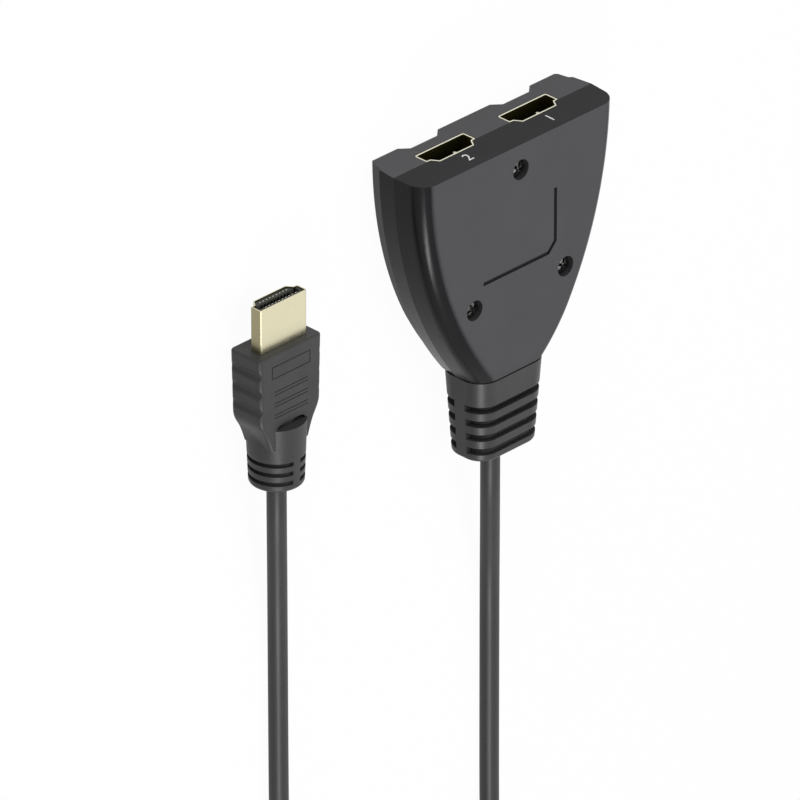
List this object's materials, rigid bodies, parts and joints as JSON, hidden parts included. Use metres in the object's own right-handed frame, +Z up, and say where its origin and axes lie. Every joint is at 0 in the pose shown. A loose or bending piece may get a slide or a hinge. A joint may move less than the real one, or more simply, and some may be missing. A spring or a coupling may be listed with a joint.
{
  "type": "video switch",
  "caption": "Video switch in a dark grey tapered plastic casing with sockets at its wide end and a captive cable that ends in a gold plug",
  "frame": {"origin": "centre of the footprint of the casing and its boot, on the surface that it lies on, without the cable and plug", "axes": "+Z up out of the screwed back, +Y towards the sockets, +X across, so that the cable leaves towards -Y"},
  "size_m": [0.1041, 0.2341, 0.0172],
  "materials": {
    "casing": "fine satin grain",
    "button": "satin",
    "steel": "plain",
    "gilt": "pale gold flash",
    "black": "satin",
    "contact": "bright gold flash",
    "board": "satin solder mask",
    "board_part": "plain",
    "clear": "frosted, milky",
    "boot": "soft satin",
    "jacket": "smooth satin",
    "wire": "satin",
    "tie": "satin"
  },
  "bodies": {
    "casing": {"back_cover": "casing", "front_cover": "casing", "cover_screws": "steel", "socket_shell_1": "gilt", "socket_shell_2": "gilt", "socket_core_1": "black", "socket_core_2": "black", "socket_contacts_1": "contact", "socket_contacts_2": "contact", "circuit_board": "board", "switching_chip": "black", "chip_leads": "steel", "board_parts": "board_part", "crystal": "steel", "tact_switch": "black", "switch_dome": "steel", "indicator_leds": "clear", "light_guides": "clear", "cable_boot": "boot", "inner_cable": "jacket", "cable_clamp": "steel", "cable_wires": "wire", "cable_from_switch": "jacket", "cable_coil": "jacket", "cable_to_plug": "jacket", "coil_tie": "tie", "plug_body": "boot", "plug_shell": "gilt", "plug_core": "black", "plug_contacts": "contact"},
    "button": {"select_button": "button", "switch_plunger": "button"}
  },
  "joints": [
    {"name": "select_press", "type": "slide", "parent": "casing", "child": "button", "axis": [0, 0, 1], "range_m": [0, 0.0005], "stiffness_N_per_m": 4000, "springref_m": -0.0003}
  ]
}
